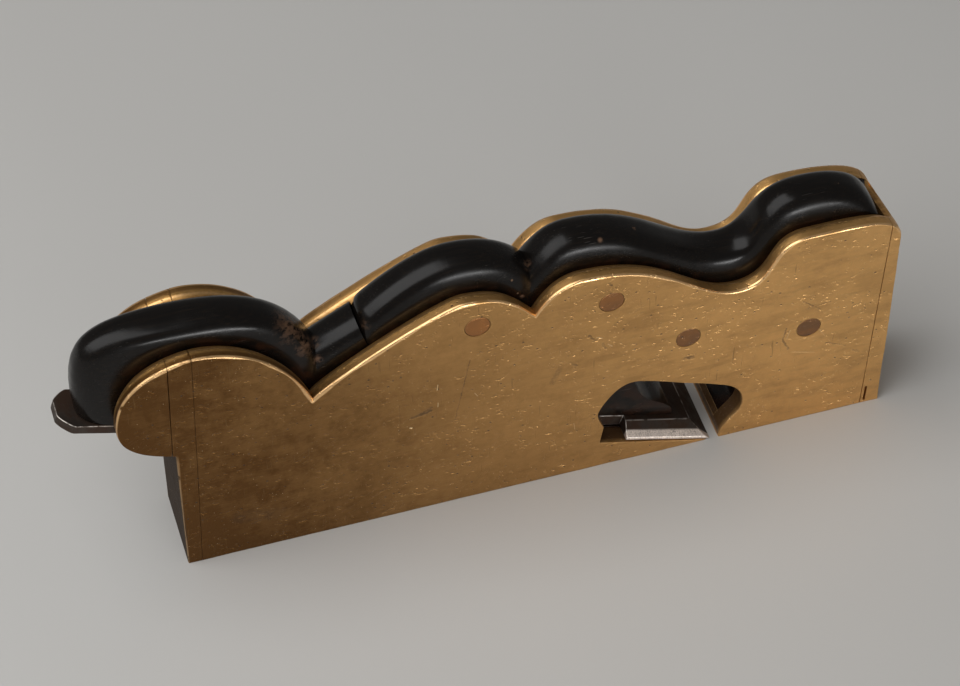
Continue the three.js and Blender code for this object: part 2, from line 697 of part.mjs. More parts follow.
// Iron, modelled flat with its cutting edge at the origin and its tail towards -X
function ironBlank() {
  const wide = bodyWidth / 2;
  const narrow = slidingHalfWidth;
  const head = -ironLength;
  const clip = ironHeadClip;
  const bend = ironHeadClip * (1 - ironHeadReachShare);
  const plan = new THREE.Shape();
  plan.moveTo(0, -wide);
  plan.lineTo(0, wide);
  plan.lineTo(-ironWideLength, wide);
  plan.lineTo(-ironWideLength, narrow);
  plan.lineTo(head + clip, narrow);
  plan.bezierCurveTo(head + bend, narrow, head, narrow - bend, head, narrow - clip);
  plan.lineTo(head, -narrow + clip);
  plan.bezierCurveTo(head, -narrow + bend, head + bend, -narrow, head + clip, -narrow);
  plan.lineTo(-ironWideLength, -narrow);
  plan.lineTo(-ironWideLength, -wide);
  return solid(new THREE.ExtrudeGeometry(plan, {
    depth: ironEdgeThickness,
    bevelEnabled: false,
    curveSegments: curveSteps,
  }));
}

// Everything above the iron's tapered top and its bevel is cut away, and so are the wings' upper corners
const ironTopCut = solid(prism(outlineOf(
  [-ironLength - overrun, ironTailThickness - overrun * tangent(ironTaper)],
  [-ironLength - overrun, ironEdgeThickness + overrun],
  [0, ironEdgeThickness + overrun],
  [0, ironEdgeThickness],
), -outerHalf, outerHalf));
const bevelCutHeight = ironEdgeThickness + overrun;
const ironBevelCut = solid(prism(outlineOf(
  [0, 0],
  [-bevelCutHeight / tangent(ironBevelAngle), bevelCutHeight],
  [overrun, bevelCutHeight],
  [overrun, 0],
), -outerHalf, outerHalf));

function ironWingCut(side) {
  const slope = (ironEdgeThickness - ironEdgeLand) / ironWingTaperWidth;
  const outer = side * (bodyWidth / 2 + overrun);
  const inner = side * (bodyWidth / 2 - ironWingTaperWidth - overrun);
  const top = ironEdgeThickness + slope * overrun;
  const corner = new THREE.Shape();
  corner.moveTo(outer, ironEdgeLand - slope * overrun);
  corner.lineTo(inner, top);
  corner.lineTo(outer, top);
  const cut = new THREE.ExtrudeGeometry(corner, {
    depth: ironWideLength + 2 * overrun,
    bevelEnabled: false,
  });
  cut.rotateX(Math.PI / 2);
  cut.rotateZ(Math.PI / 2);
  cut.translate(-ironWideLength - overrun, 0, 0);
  return solid(cut);
}

const group = new THREE.Group();
group.position.x = -bodyLength / 2;
group.add(
  piece('near_cheek', cheek(nearPlate), brass),
  piece('far_cheek', cheek(farPlate), brass),
  piece('near_lobe', lobe(nearPlate), brass),
  piece('far_lobe', lobe(farPlate), brass),
  piece('heel_plate', heelPlate, brass),
  piece('toe_plate', toePlate, brass),
  piece('rear_sole', rearSole, brass),
  piece('toe_sole', toeSole, brass),
  piece('bed_infill', bedInfill, ebony),
  piece('stuffing', stuffing, ebony),
  piece('wedge', wedge, ebony),
);
pins.forEach((pin, index) => group.add(piece(`cross_pin_${index + 1}`, pinBody(pin, 0), pinBrass)));

const blade = new THREE.Group();
blade.position.set(edgePlace, 0, ironEdgeHeight);
blade.rotation.y = THREE.MathUtils.degToRad(bedAngle);
const iron = ironBlank()
  .subtract(ironTopCut)
  .subtract(ironBevelCut)
  .subtract(ironWingCut(-1))
  .subtract(ironWingCut(1));
blade.add(piece('iron', iron, steel));
group.add(blade);

export default group;
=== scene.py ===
import math

import bmesh
import bpy
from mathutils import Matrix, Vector, geometry, noise


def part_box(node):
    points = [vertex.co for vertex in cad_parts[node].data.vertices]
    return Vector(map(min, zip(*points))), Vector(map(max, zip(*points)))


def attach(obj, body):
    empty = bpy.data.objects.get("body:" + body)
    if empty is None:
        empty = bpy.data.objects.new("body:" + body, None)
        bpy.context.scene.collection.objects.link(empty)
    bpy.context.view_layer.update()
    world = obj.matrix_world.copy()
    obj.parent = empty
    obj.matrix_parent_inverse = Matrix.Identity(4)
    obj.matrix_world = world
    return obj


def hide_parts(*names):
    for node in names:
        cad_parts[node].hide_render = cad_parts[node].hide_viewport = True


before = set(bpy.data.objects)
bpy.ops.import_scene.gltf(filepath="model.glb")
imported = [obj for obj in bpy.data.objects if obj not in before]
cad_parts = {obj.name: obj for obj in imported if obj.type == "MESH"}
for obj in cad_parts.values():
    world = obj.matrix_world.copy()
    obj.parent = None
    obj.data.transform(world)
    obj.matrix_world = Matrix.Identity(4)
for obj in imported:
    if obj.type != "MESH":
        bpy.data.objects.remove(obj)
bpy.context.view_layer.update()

# The view
# The tool stands on its sole and is seen from its near side, from high up and a little behind
# the heel, through a long lens.
bpy.context.scene.view_settings.view_transform = "Standard"
long_lens = bpy.data.cameras.new("long_lens")
long_lens.sensor_width = 36
long_lens.lens = 114.375
long_lens.clip_start = 0.02
camera = bpy.data.objects.new("camera", long_lens)
camera.location = (-0.174097, -0.522644, 0.668258)
camera.rotation_euler = [math.radians(angle) for angle in (41.4245, 0, -17.0265)]
bpy.context.collection.objects.link(camera)
bpy.context.scene.camera = camera


# The bench
# A plain pale bench top under one large soft lamp overhead and a smaller one low in front, in a
# room with pale walls.
class Field:
    """An output socket that changes over a surface; sums and products on it add Math nodes."""

    def __init__(self, tree, socket=None):
        self.tree = tree
        self.socket = socket

    def node(self, kind, settings, inputs, output=0):
        """Adds a node: its settings first, then the values or links of its sockets."""
        made = self.tree.nodes.new("ShaderNode" + kind)
        for name, value in settings.items():
            setattr(made, name, value)
        for name, value in inputs.items():
            if isinstance(value, Field):
                self.tree.links.new(value.socket, made.inputs[name])
            else:
                made.inputs[name].default_value = value
        return Field(self.tree, made.outputs[output] if made.outputs else None)

    def sum(self, operation, first, second):
        return self.node("Math", {"operation": operation}, {0: first, 1: second})

    def __add__(self, other):
        return self.sum("ADD", self, other)

    def __radd__(self, other):
        return self.sum("ADD", other, self)

    def __sub__(self, other):
        return self.sum("SUBTRACT", self, other)

    def __rsub__(self, other):
        return self.sum("SUBTRACT", other, self)

    def __mul__(self, other):
        return self.sum("MULTIPLY", self, other)

    def __rmul__(self, other):
        return self.sum("MULTIPLY", other, self)

    def __abs__(self):
        return self.sum("ABSOLUTE", self, 0)

    def least(self, other):
        return self.sum("MINIMUM", self, other)

    def most(self, other):
        return self.sum("MAXIMUM", self, other)


def new_material(name):
    """A material with no nodes yet, and the field that its nodes start from."""
    made = bpy.data.materials.new(name)
    made.use_nodes = True
    made.node_tree.nodes.clear()
    return made, Field(made.node_tree)


def coat_with(start, colour, roughness, metallic, bump, gloss=0.5):
    """Joins the shader to the output. The gloss is the same all over the surface."""
    sockets = {"Base Color": colour, "Roughness": roughness, "Metallic": metallic}
    sockets["Specular IOR Level"] = gloss
    if bump is not None:
        sockets["Normal"] = bump
    shader = start.node("BsdfPrincipled", {}, sockets)
    start.node("OutputMaterial", {}, {"Surface": shader})


def spot(start):
    """The place on the piece in millimetres, counted from the middle of the sole."""
    here = start.node("TexCoord", {}, {}, "Object")
    return start.node("VectorMath", {"operation": "SCALE"}, {0: here, "Scale": 1000})


def cloud(place, size, detail=3, rough=0.55, stretch=(1, 1, 1), seed=0):
    """Soft noise from 0 to 1 whose patches are about size millimetres wide, longer by stretch."""
    scaled = place.node("Mapping", {}, {
        "Vector": place,
        "Location": (seed * 7.3, seed * 3.1, seed * 5.7),
        "Scale": tuple(1 / (size * longer) for longer in stretch),
    })
    return place.node("TexNoise", {}, {
        "Vector": scaled, "Scale": 1, "Detail": detail, "Roughness": rough,
    })


def blend_colour(share, first, second):
    """First where share is 0, second where it is 1."""
    ready = [(*colour, 1) if isinstance(colour, tuple) else colour for colour in (first, second)]
    return share.node("Mix", {"data_type": "RGBA"}, {0: share, 6: ready[0], 7: ready[1]}, 2)


def darker(colour, share):
    """A colour with only a share of its brightness."""
    return tuple(share * part for part in colour)


floor_size = 6
floor_colour = (0.55, 0.54, 0.52)
floor_shade = 0.97
floor_material, start = new_material("bench_top")
here = spot(start)
coat_with(
    start,
    blend_colour(cloud(here, 60, 4), floor_colour, darker(floor_colour, floor_shade)),
    0.55 + 0.1 * cloud(here, 30),
    0,
    None,
)
bpy.ops.mesh.primitive_plane_add(size=floor_size)
floor = bpy.context.object
floor.name = "bench"
floor.data.materials.append(floor_material)

wall_colour = (0.83, 0.82, 0.80)
wall_strength = 0.2
walls = bpy.data.worlds.new("walls")
walls.use_nodes = True
walls.node_tree.nodes["Background"].inputs["Color"].default_value = (*wall_colour, 1)
walls.node_tree.nodes["Background"].inputs["Strength"].default_value = wall_strength
bpy.context.scene.world = walls

for name, place, aim, size, spread, power in (
    ("overhead_lamp", (-0.62, -0.1, 0.95), (0, 0, 0.04), (1.2, 1.2), 180, 12.0),
    ("front_lamp", (0.45, -1.9, 0.21), (0.03, 0, 0.05), (1.2, 0.14), 60, 2),
):
    lamp = bpy.data.lights.new(name, "AREA")
    lamp.shape = "RECTANGLE"
    lamp.size, lamp.size_y = size
    lamp.spread = math.radians(spread)
    lamp.energy = power
    stand = bpy.data.objects.new(name, lamp)
    stand.location = place
    stand.rotation_euler = (Vector(aim) - Vector(place)).to_track_quat("-Z", "Y").to_euler()
    bpy.context.collection.objects.link(stand)


# Side plates and lobes
# Two brass plates, sawn and filed to the same scalloped line, each with a lobe brazed on behind
# the heel. Hands have rounded the outer arris and polished it bright; a chamfer leads down inside.
millimetre = 0.001
half_width = 12.7
plate_thickness = 5.6
inner_face = half_width - plate_thickness
section_depth = 1.8
weld_distance = 0.001
straight_turn = 0.2
corner_turn = 24
fine_spacing = 0.6
plain_spacing = 3
hole_steps = 64
mitre_spread = 0.2
longest_fold = 12
sharp_turn = 35


def section(node, y):
    """Outlines where a plane across the width cuts a CAD piece, in millimetres, longest first."""
    cut = bmesh.new()
    cut.from_mesh(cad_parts[node].data)
    bmesh.ops.remove_doubles(cut, verts=cut.verts, dist=weld_distance * millimetre)
    made = bmesh.ops.bisect_plane(
        cut,
        geom=[*cut.verts, *cut.edges, *cut.faces],
        plane_co=(0, y * millimetre, 0),
        plane_no=(0, 1, 0),
    )
    edges = [part for part in made["geom_cut"] if isinstance(part, bmesh.types.BMEdge)]
    edges = dict.fromkeys(edges)
    loops = []
    while edges:
        edge = edges.popitem()[0]
        loop = [edge.verts[0], edge.verts[1]]
        while loop[-1] is not loop[0]:
            edge = next(e for e in loop[-1].link_edges if e in edges)
            edges.pop(edge)
            loop.append(edge.other_vert(loop[-1]))
        loops.append([Vector((v.co.x, v.co.z)) / millimetre for v in loop[:-1]])
    cut.free()
    loops = [plain(loop) for loop in loops]
    return sorted(loops, key=lambda loop: -sum((a - b).length for a, b in zip(loop, loop[1:])))


def turn(before, point, after):
    """How far an outline turns at a point, in degrees, positive to the right."""
    first = point - before
    second = after - point
    return math.degrees(math.atan2(first.y * second.x - first.x * second.y, first.dot(second)))


def plain(loop):
    """The loop without the points that lie on a straight line, and always clockwise."""
    kept = [
        point for before, point, after in zip(loop[-1:] + loop, loop, loop[1:] + loop[:1])
        if abs(turn(before, point, after)) > straight_turn
    ]
    area = sum(a.x * b.y - b.x * a.y for a, b in zip(kept, kept[1:] + kept[:1]))
    return kept if area < 0 else kept[::-1]


def curve_through(points, spacing):
    """A finer curve through points, without its last one. Its ends are taken as corners."""
    if len(points) == 2:
        count = max(1, round((points[1] - points[0]).length / plain_spacing))
        return [points[0].lerp(points[1], i / count) for i in range(count)]
    ends = [2 * points[0] - points[1], *points, 2 * points[-1] - points[-2]]
    curve = []
    for a, b, c, d in zip(ends, ends[1:], ends[2:], ends[3:]):
        gaps = [max((q - p).length, 1e-6) ** 0.5 for p, q in ((a, b), (b, c), (c, d))]
        lead = ((b - a) / gaps[0] - (c - a) / (gaps[0] + gaps[1]) + (c - b) / gaps[1]) * gaps[1]
        leave = ((c - b) / gaps[1] - (d - b) / (gaps[1] + gaps[2]) + (d - c) / gaps[2]) * gaps[1]
        count = max(1, round((c - b).length / spacing))
        for i in range(count):
            t = i / count
            curve.append(
                (2 * t ** 3 - 3 * t ** 2 + 1) * b + (t ** 3 - 2 * t ** 2 + t) * lead
                + (3 * t ** 2 - 2 * t ** 3) * c + (t ** 3 - t ** 2) * leave
            )
    return curve


def runs_of(loop, spacing):
    """The loop as smooth runs from corner to corner."""
    count = len(loop)
    corners = [
        i for i in range(count)
        if abs(turn(loop[i - 1], loop[i], loop[(i + 1) % count])) > corner_turn
    ]
    runs = []
    for first, last in zip(corners, corners[1:] + [corners[0] + count]):
        runs.append(curve_through([loop[i % count] for i in range(first, last + 1)], spacing))
    return runs


def inset(points, reaches):
    """A clockwise loop moved inward, each edge by its own reach, with no fold at its corners."""
    count = len(points)
    moved = []
    sharp = []
    for i, point in enumerate(points):
        first = (point - points[i - 1]).normalized()
        second = (points[(i + 1) % count] - point).normalized()
        before, after = Vector((first.y, -first.x)), Vector((second.y, -second.x))
        near, far = reaches[i - 1], reaches[i]
        mitre = before.x * after.y - before.y * after.x
        if abs(mitre) > mitre_spread:
            sharp.append(i)
            moved.append(point + Vector((
                (near * after.y - far * before.y) / mitre,
                (far * before.x - near * after.x) / mitre,
            )))
        else:
            moved.append(point + (before + after).normalized() * (near + far) / 2)
    for corner in sharp:
        for side in (1, -1):
            away = (points[(corner + side) % count] - points[corner]).normalized()
            i = corner + side
            while (moved[i % count] - moved[corner]).dot(away) < 0:
                if abs(i - corner) == longest_fold:
                    break
                moved[i % count] = moved[corner].copy()
                i += side
    return moved


def skinned(body, rings, holes=(), marks=None, pocket=()):
    """Adds a closed solid to a mesh, skinned over rings of points and closed flat at both ends,
    with holes right through it and a pocket in its first end. Materials read its marks."""
    part = bmesh.new()
    layers = {mark: part.verts.layers.float.new(mark) for mark in marks or {}}
    skins = []
    for group in (rings, *holes, *pocket):
        rows = [[part.verts.new(Vector(p) * millimetre) for p in ring] for ring in group]
        skins.append(rows)
        for row, following in zip(rows, rows[1:]):
            for i, vert in enumerate(row):
                after = (i + 1) % len(row)
                part.faces.new((vert, row[after], following[after], following[i]))
    for mark, layer in layers.items():
        for row, values in zip(skins[0], marks[mark]):
            for vert, value in zip(row, values):
                vert[layer] = value
    through = skins[:len(skins) - len(pocket)]
    flats = [[rows[0] for rows in skins], [rows[-1] for rows in through]]
    flats += [[rows[-1]] for rows in skins[len(through):]]
    for loops in flats:
        flat = [vert for loop in loops for vert in loop]
        for triangle in geometry.tessellate_polygon([[v.co for v in loop] for loop in loops]):
            try:
                part.faces.new([flat[i] for i in triangle])
            except ValueError:
                continue
    bmesh.ops.remove_doubles(part, verts=part.verts, dist=2 * weld_distance * millimetre)
    bmesh.ops.dissolve_degenerate(part, edges=part.edges, dist=weld_distance / 2 * millimetre)
    bmesh.ops.recalc_face_normals(part, faces=part.faces)
    finished = bpy.data.meshes.new("part")
    part.to_mesh(finished)
    part.free()
    body.from_mesh(finished)
    bpy.data.meshes.remove(finished)


def shown(name, body):
    """A Blender object from a bmesh, smooth except where it turns sharply."""
    mesh = bpy.data.meshes.new(name)
    body.to_mesh(mesh)
    body.free()
    mesh.shade_smooth()
    mesh.set_sharp_from_angle(angle=math.radians(sharp_turn))
    made = bpy.data.objects.new(name, mesh)
    bpy.context.collection.objects.link(made)
    weigh = made.modifiers.new("even_shading", "WEIGHTED_NORMAL")
    weigh.keep_sharp = True
    return made


heel_face = -101.6
arris_depth = 0.8
rim_flat = 3.2
chamfer_width = plate_thickness - rim_flat
chamfer_drop = 1.6
arris_turns = (0, 12, 28, 45, 62, 78, 90)
inner_arris = 0.06
chamfer_bends = (
    (-0.55, 0), (-0.12, 0.01), (inner_arris, 0.08), (0.3, 0.29), (0.7, 0.7), (0.93, 0.93),
    (1, 1.06),
)
rim_arris = {-1: 0.9, 1: 0.4}
open_arris = 0.32
seam_arris = 0.08
filed_seam_arris = 0.004
filed_seam = (-98.4, -90)
rim_length = 4
rim_height = 50
throat_height = 40
edge_gleams = {"rim": 1, "open": 0.3, "seam": 0.1}
least_upward = 0.15
least_wear = 0.35
wear_patch = 9
heel_notch_height = 46
heel_edge_wear = 2.4
heel_wear_patch = 4
pin_flare = 0.275
pin_flare_depth = 1.2


def edge_kind(run):
    """What a run of a side outline is: the rim, an edge open to the air, or a seam."""
    left, right = min(p.x for p in run), max(p.x for p in run)
    low, high = min(p.y for p in run), max(p.y for p in run)
    if right - left > rim_length and high > rim_height:
        return "rim"
    heel_side = right < heel_face + 0.2 and low < 1
    throat_side = left > 0 and high < throat_height
    return "open" if high < 0.1 or heel_side or throat_side else "seam"


def inward_mark(share):
    """How far in a ring of the chamfer lies: 0 out on the rim's flat, 1 at the inner face."""
    return max(0, 0.4 + 0.6 * share)


def rim_rings(side, points, kinds):
    """Rings of a plate from its outer face inward, with the values that its materials read."""
    widths = {"rim": rim_arris[side], "open": open_arris, "seam": seam_arris}
    gleam, worn = [], []
    for i, (point, kind) in enumerate(zip(points, kinds)):
        rising = (points[(i + 1) % len(points)] - points[i - 1]).normalized()
        upward = max(least_upward, min(1, 0.6 + rising.x)) if kind == "rim" else 1
        gleam.append(edge_gleams[kind] * upward)
        patch = noise.noise(Vector((point.x / wear_patch, point.y / wear_patch, side)))
        wear = max(least_wear, 0.75 + 0.9 * patch)
        if kind == "seam" and filed_seam[0] < point.x < filed_seam[1]:
            wear = filed_seam_arris / seam_arris
        if kind == "open" and abs(point.x - heel_face) < 0.2 and side < 0:
            patch = noise.noise(Vector((point.y / heel_wear_patch, 3, 0)))
            wear += heel_edge_wear * (point.y / heel_notch_height) ** 2 * (0.7 + 0.6 * patch)
        worn.append(wear * widths[kind] * upward)
    rings, marks = [], {"bright": [], "inward": []}
    for angle in arris_turns:
        share = 1 - math.sin(math.radians(angle))
        depth = arris_depth * (1 - math.cos(math.radians(angle)))
        shine = math.sin(math.radians(2 * angle)) ** 0.5 if 0 < angle < 90 else 0
        moved = inset(points, [share * width for width in worn])
        rings.append([(p.x, side * (half_width - depth), p.y) for p in moved])
        marks["bright"].append([shine * glow for glow in gleam])
        marks["inward"].append([0] * len(points))
    for share, drop in chamfer_bends:
        depth = rim_flat + share * chamfer_width
        moved = inset(points, [drop * chamfer_drop if kind == "rim" else 0 for kind in kinds])
        rings.append([(p.x, side * (half_width - depth), p.y) for p in moved])
        worn_edge = 0.5 * float(share == inner_arris)
        marks["bright"].append([worn_edge * float(kind == "rim") for kind in kinds])
        marks["inward"].append([inward_mark(share) * float(kind == "rim") for kind in kinds])
    return rings, marks


def plate(body, node, side):
    """Adds a plate from its CAD outline; side is -1 for the near plate and 1 for the far one."""
    outline, *hole_outlines = section(node, side * (half_width - section_depth))
    points, kinds = [], []
    for run in runs_of(outline, fine_spacing):
        points += run
        kinds += [edge_kind(run)] * len(run)
    rings, marks = rim_rings(side, points, kinds)
    holes = []
    for loop in hole_outlines:
        middle = sum(loop, Vector((0, 0))) / len(loop)
        radius = max((p - middle).length for p in loop)
        hole = []
        for ring in rings:
            depth = half_width - abs(ring[0][1])
            flare = max(0, pin_flare * (1 - depth / pin_flare_depth))
            hole.append(circle(middle, ring[0][1], radius + flare))
        holes.append(hole)
    skinned(body, rings, holes, marks)


def circle(middle, y, radius):
    """Points round a pin or its hole."""
    turns = [2 * math.pi * i / hole_steps for i in range(hole_steps)]
    return [
        (middle.x + radius * math.cos(t), y, middle.y + radius * math.sin(t)) for t in turns
    ]


def stroke(along, height, ends, width):
    """1 on a line between two places on the side, fading to 0 over its width."""
    (x, z), (to_x, to_z) = ends
    run, climb = to_x - x, to_z - z
    length = run * run + climb * climb
    share = ((along - x) * (run / length) + (height - z) * (climb / length)).most(0).least(1)
    aside = along - x - share * run
    above = height - z - share * climb
    return 1 - step(aside * aside + above * above, (0.3 * width) ** 2, width ** 2)


near_marks = (
    (((-36.8, 39.6), (-32, 40.9)), 0.8, 0.8),
    (((-33.5, 41.2), (-31.6, 42)), 0.5, 0.7),
    (((-86, 14.5), (-77, 12.5)), 3.4, 0.35),
    (((-82, 11), (-74, 13.5)), 1.4, 0.3),
    (((-20.7, 57.9), (-25, 34.7)), 0.22, 0.6),
    (((41, 37.9), (43, 37.6)), 0.9, 0.85),
    (((2.6, 40.5), (4.9, 46.5)), 1.1, 0.4),
    (((8.2, 46.4), (9.5, 45.6)), 0.5, 0.6),
    (((12.6, 56.6), (14.4, 54)), 0.45, 0.75),
    (((16.6, 52), (17.6, 49.8)), 0.45, 0.7),
    (((18, 75.6), (18.4, 74.6)), 0.4, 0.85),
    (((70.4, 40.4), (69.7, 36)), 0.35, 0.7),
    (((69.7, 36), (71.6, 31.6)), 0.35, 0.7),
    (((74.6, 50.2), (80, 45.4)), 0.3, 0.6),
    (((76.4, 47), (81.5, 47.4)), 0.22, 0.5),
    (((83, 30.6), (89, 27.4)), 0.35, 0.5),
    (((91.6, 24.6), (93.4, 23.4)), 0.5, 0.6),
)
# Painted highlights on the near plate: each gives the two ends of a line along the side, its width
# and its strength.
near_glints = (
    (((-29.7, 50.8), (-29.9, 48.8)), 0.18, 0.9),
    (((-29.7, 43.4), (-29.8, 41.8)), 0.16, 0.8),
    (((-37.6, 35.7), (-37.2, 35.5)), 0.35, 1),
    (((-19.4, 44), (-18.6, 42.5)), 0.15, 0.7),
    (((71.6, 39.4), (70.9, 36.2)), 0.16, 0.7),
    (((77, 42.6), (82.4, 33.6)), 0.12, 0.5),
    (((72.6, 30), (79.8, 27.6)), 0.14, 0.5),
    (((14.9, 55.2), (16.4, 54.4)), 0.2, 0.8),
    (((18.2, 51.4), (19.4, 50.2)), 0.18, 0.8),
    (((9.2, 21.2), (9.6, 18.6)), 0.14, 0.6),
)


def step(value, low, high):
    """0 below low and 1 above high, with a soft step between them."""
    return value.node("MapRange", {"interpolation_type": "SMOOTHSTEP"}, {
        "Value": value, "From Min": low, "From Max": high, "To Min": 0, "To Max": 1,
    })


def cells(place, scale):
    """The distance to the nearest of scattered points, which stand about 1 / scale apart."""
    sockets = {"Vector": place, "Scale": scale}
    return place.node("TexVoronoi", {"feature": "F1"}, sockets, "Distance")


# Of these colours, the first is painted shade for the heel end face, the second is painted shade
# with some red-brown residue for the inside of the throat, and the fourth is a painted highlight
# for the glints.
heel_face_shade = (0.022, 0.013, 0.007)
throat_shade_and_residue = (0.05, 0.02, 0.008)
pit_dirt = (0.045, 0.026, 0.014)
glint_highlight = (0.95, 0.72, 0.42)
polished_brass = (0.98, 0.62, 0.3)
old_lacquer = (0.5, 0.26, 0.055)
brown_lacquer = (0.22, 0.11, 0.025)
caked_shellac = (0.07, 0.02, 0.008)
hand_grime = (0.07, 0.035, 0.014)


def brass(name, toe_tone, heel_tone, marked=True):
    """Aged brass: brown patina and painted shade deepening to the heel, painted shade on the heel
    face and in the throat, painted glints, pits, scratches, and worn bright arrises.
    """
    made, start = new_material(name)
    place = spot(start)
    parts = start.node("SeparateXYZ", {}, {"Vector": place})
    along, across, height = [Field(start.tree, parts.socket.node.outputs[i]) for i in range(3)]
    bright = start.node("Attribute", {"attribute_name": "bright"}, {}, "Fac")
    inward = start.node("Attribute", {"attribute_name": "inward"}, {}, "Fac")

    # Toward the heel, and a little toward the sole, the colour moves to the heel tone. On the
    # plates this darkening is partly brown patina and partly painted shade of the light falling
    # off toward the heel.
    toward_heel = 1 - step(along + 0.35 * height, -112, 100)
    clouds = step(cloud(place, 20, 4, 0.5, seed=1), 0.3, 0.75)
    mottle = step(cloud(place, 3.5, 5, 0.65, seed=2), 0.36, 0.76)
    streaks = cloud(place, 0.35, 3, 0.65, (30, 1, 1), 4)
    smears = step(cloud(place, 4, 3, 0.6, (3.5, 1, 1), 25), 0.42, 0.7) * step(along, -30, 40)
    tarnish_and_shade = toward_heel * 0.98 + 0.12 * clouds + 0.12 * mottle + 0.16 * streaks + 0.2 * smears - 0.1
    handled = step(inward, 0.02, 0.3)
    tarnish_and_shade = tarnish_and_shade.least(1).most(0) * (1 - 0.7 * handled)
    colour = blend_colour(tarnish_and_shade, toe_tone, heel_tone)
    # Painted shade: the heel end face below the notch is painted near black, and is made rougher
    # and less metallic.
    on_end = (1 - step(along, -101.45, -101.1)) * (1 - step(height, 44.5, 45.5))
    colour = blend_colour(0.9 * on_end, colour, heel_face_shade)
    # Inside the throat: painted shade of the recess, with some red-brown residue.
    throat = step(along, 13, 16) * (1 - step(along, 62, 64)) * (1 - step(height, 24, 27))
    throat = throat * (1 - step(abs(across), 11, 12.5)) * step(height, 0.2, 1.5)
    colour = blend_colour(0.88 * throat, colour, throat_shade_and_residue)

    pits = 1 - step(cells(place, 0.36), 0.06, 0.15)
    pits = pits * step(cloud(place, 9, 2, 0.5, seed=6), 0.4, 0.52)
    # Glints: small bright spots of fresh brass colour, painted highlights where dents and
    # scratches catch the light.
    glints = 1 - step(cells(place, 0.62), 0.03, 0.09)
    glints = glints * step(cloud(place, 7, 2, 0.5, seed=9), 0.42, 0.54)
    steep = step(cloud(place, 0.2, 1, 0.5, (3, 1, 50), 3), 0.68, 0.75)
    leaning = place.node(
        "VectorRotate", {"rotation_type": "Y_AXIS"}, {"Vector": place, "Angle": 0.5},
    )
    flat = step(cloud(leaning, 0.2, 1, 0.5, (45, 1, 1), 5), 0.66, 0.74)
    scratches = steep * step(cloud(place, 14, 2, 0.5, seed=15), 0.45, 0.62)
    scratches = scratches.most(0.8 * flat * step(cloud(place, 17, 2, 0.5, seed=26), 0.45, 0.62))
    dents = step(cloud(place, 0.9, 2, 0.5, (1.6, 1, 1), 27), 0.6, 0.78)
    dents = dents * step(cloud(place, 12, 2, 0.5, seed=28), 0.36, 0.54)
    if marked:
        outer = 1 - step(across, -12.66, -12.5)
        shaky = 0.9 * (cloud(place, 1.1, 2, 0.5, seed=16) - 0.5)
        broken = 0.45 + 0.55 * step(streaks + mottle, 0.5, 0.95)
        for ends, width, depth in near_marks:
            mark = stroke(along + shaky, height + shaky, ends, width)
            pits = pits.most(depth * mark * outer * broken)
        for ends, width, depth in near_glints:
            glints = glints.most(depth * stroke(along + 0.3 * shaky, height, ends, width) * outer)
    colour = blend_colour(0.8 * pits, colour, pit_dirt)
    colour = blend_colour(0.45 * scratches + 0.2 * dents, colour, darker(toe_tone, 0.3))
    colour = blend_colour(0.7 * glints, colour, glint_highlight)

    residue = step(cloud(place, 2.2, 4, 0.65, (2.5, 1, 1), 7), 0.36, 0.62)
    sunk = step(inward, 0.35, 0.85)
    crust = step(cloud(place, 0.7, 4, 0.7, (2, 1, 1), 29), 0.45, 0.62)
    colour = blend_colour(0.4 * handled * residue, colour, old_lacquer)
    colour = blend_colour(0.3 * handled * crust, colour, hand_grime)
    colour = blend_colour(0.5 * sunk, colour, brown_lacquer)
    colour = blend_colour(0.6 * sunk * residue, colour, caked_shellac)
    polished = bright * step(cloud(place, 3, 3, 0.6, (2, 1, 1), 8), 0.26, 0.46)
    colour = blend_colour(0.9 * polished, colour, polished_brass)

    roughness = 0.34 + 0.1 * tarnish_and_shade + 0.1 * mottle - 0.1 * polished
    roughness = roughness + 0.2 * pits + 0.14 * sunk + 0.4 * on_end
    relief = 0.4 * mottle + 0.5 * streaks - 3 * pits - 1.6 * scratches - 1.5 * glints - 3 * dents
    bump = start.node("Bump", {}, {"Height": relief, "Strength": 0.5, "Distance": 0.0001})
    metallic = 0.94 - 0.35 * pits - 0.35 * sunk * residue - 0.6 * throat.most(on_end)
    coat_with(start, colour, roughness, metallic, bump)
    return made


# The heel tone is far darker than the toe tone; the blend between them is partly painted shade.
plate_brass = brass("plate_brass", (0.765, 0.436, 0.16), (0.122, 0.054, 0.013))
for name, node, side in (
    ("near_side_plate", "near_cheek", -1),
    ("far_side_plate", "far_cheek", 1),
    ("near_heel_lobe", "near_lobe", -1),
    ("far_heel_lobe", "far_lobe", 1),
):
    body = bmesh.new()
    plate(body, node, side)
    made = shown(name, body)
    made.data.materials.append(plate_brass)
    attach(made, "body")
    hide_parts(node)


# Heel plate
# A brass block brazed in behind the bed. Above the notch it goes up beside the wedge as an ear of
# each side plate, and the lobes are brazed on behind the ears.
body = bmesh.new()
for side in (-1, 1):
    plate(body, "heel_plate", side)
bed_end = [point for run in runs_of(section("heel_plate", 0)[0], fine_spacing) for point in run]
skinned(body, [[(p.x, y, p.y) for p in bed_end] for y in (-inner_face, inner_face)])
heel_plate = shown("heel_end_plate", body)
heel_plate.data.materials.append(plate_brass)
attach(heel_plate, "body")
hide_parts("heel_plate")


# Toe plate
# A brass plate across the front end, filed to the rim. The rim's chamfer turns along its inner
# edge, and its joint with the near side plate stands open at the foot.
toe_face = 101.6
toe_knots = ((96, 0), (90, 75), (toe_face, 0))
toe_counts = (24, 260, 12)
toe_spacing = 0.3
toe_rim_height = 62
inner_skim = 0.01
pocket_depth = 2.5


